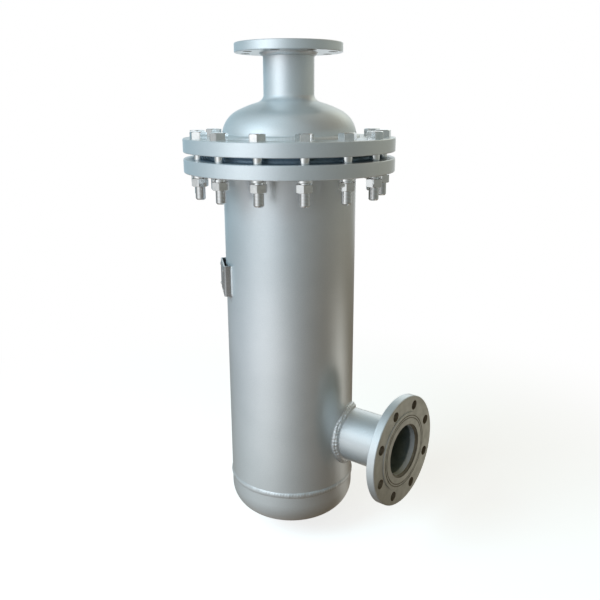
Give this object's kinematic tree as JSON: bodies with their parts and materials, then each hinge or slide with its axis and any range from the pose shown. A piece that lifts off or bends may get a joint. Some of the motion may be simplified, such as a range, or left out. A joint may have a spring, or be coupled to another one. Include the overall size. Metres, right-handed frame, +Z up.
{
  "type": "steam separator",
  "caption": "Upright steam separator vessel with dished bolted cover, top outlet flange, low side inlet flange, inner baffle stack and threaded bottom drain.",
  "frame": {"origin": "centre of the outlet flange's bolt circle, on the face that its bolt holes open onto", "axes": "+Z up along the vessel's axis and out of the outlet, +X the way the inlet nozzle points"},
  "size_m": [0.488, 0.43, 1.0459],
  "materials": {
    "silver_paint": "satin aluminium-grey paint",
    "bright_zinc": "bright zinc plated",
    "gasket_sheet": "dark compressed sheet",
    "blank_plate": "brushed, blank",
    "inner_steel": "bare rolled steel"
  },
  "bodies": {
    "root": {"outlet_flange": "silver_paint", "outlet_face_weld": "silver_paint", "outlet_flange_weld": "silver_paint", "outlet_neck": "silver_paint", "cover_neck_weld": "silver_paint", "cover_head": "silver_paint", "cover_flange_weld": "silver_paint", "cover_flange": "silver_paint", "cover_inner_weld": "inner_steel", "flange_gasket": "gasket_sheet", "body_flange": "silver_paint", "body_inner_weld": "inner_steel", "body_flange_weld": "silver_paint", "shell": "silver_paint", "bottom_seam_weld": "silver_paint", "bottom_head": "silver_paint", "drain_socket": "silver_paint", "drain_weld": "silver_paint", "inlet_neck": "silver_paint", "inlet_neck_weld": "silver_paint", "inlet_flange": "silver_paint", "inlet_flange_weld": "silver_paint", "inlet_face_weld": "silver_paint", "nameplate_bracket": "silver_paint", "bracket_welds": "silver_paint", "nameplate": "blank_plate", "nameplate_rivets": "bright_zinc", "cover_bolts": "bright_zinc", "spring_washers": "bright_zinc", "cover_nuts": "bright_zinc", "support_ledge": "inner_steel", "baffle_carrier": "inner_steel", "baffle_1": "inner_steel", "baffle_2": "inner_steel", "baffle_3": "inner_steel", "baffle_4": "inner_steel", "baffle_5": "inner_steel", "tie_rods": "inner_steel", "spacer_tubes": "inner_steel", "tie_rod_nuts": "inner_steel", "inlet_deflector": "inner_steel", "vortex_breaker": "inner_steel"}
  },
  "joints": []
}
